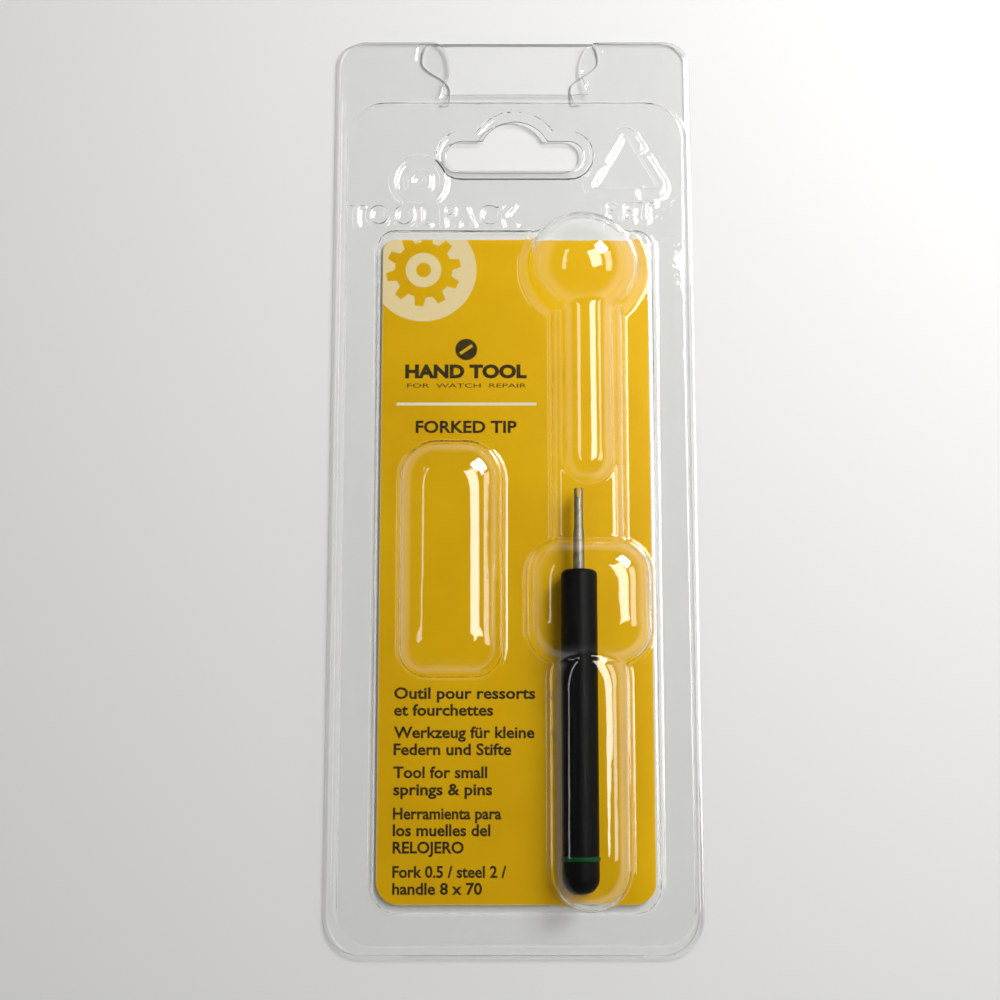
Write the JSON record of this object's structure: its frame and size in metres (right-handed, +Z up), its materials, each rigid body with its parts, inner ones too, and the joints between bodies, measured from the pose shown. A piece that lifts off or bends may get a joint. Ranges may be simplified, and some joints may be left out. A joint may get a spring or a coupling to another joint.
{
  "type": "watch spring tool",
  "caption": "Slim forked hand tool for small watch springs, lying in its hinged clear plastic hanging pack with a printed card behind it.",
  "frame": {"origin": "centre of the bottom of the pack's bounding box, under the flat back sheet, as the pack lies on its back", "axes": "+Y along the pack's length from the fold towards the hang hole, +X to the right seen from the front, +Z up out of the front face"},
  "size_m": [0.083, 0.2088, 0.0163],
  "materials": {
    "clear_plastic": "clear thermoformed sheet, gloss",
    "printed_card": "yellow printed card, satin",
    "black_plastic": "moulded, satin black",
    "green_plastic": "moulded, dark green",
    "blade_steel": "turned steel"
  },
  "bodies": {
    "back": {"back_shell": "clear_plastic"},
    "front": {"front_shell": "clear_plastic"},
    "card": {"printed_card": "printed_card"},
    "tool": {"tool_handle": "black_plastic", "colour_ring": "green_plastic", "tool_blade": "blade_steel"}
  },
  "joints": [
    {"name": "shell_open", "type": "hinge", "parent": "back", "child": "front", "pos_m": [0, -0.1044, 0.00065], "axis": [1, 0, 0], "range_deg": [0, 170]},
    {"name": "card_lift", "type": "slide", "parent": "back", "child": "card", "axis": [0, 0, 1], "range_m": [0, 0.018]},
    {"name": "tool_lift", "type": "slide", "parent": "back", "child": "tool", "axis": [0, 0, 1], "range_m": [0, 0.039]}
  ],
  "couplings": [
    {"joint": "card_lift", "follows": "shell_open", "m_per_rad": 0.006},
    {"joint": "tool_lift", "follows": "shell_open", "m_per_rad": 0.013}
  ]
}
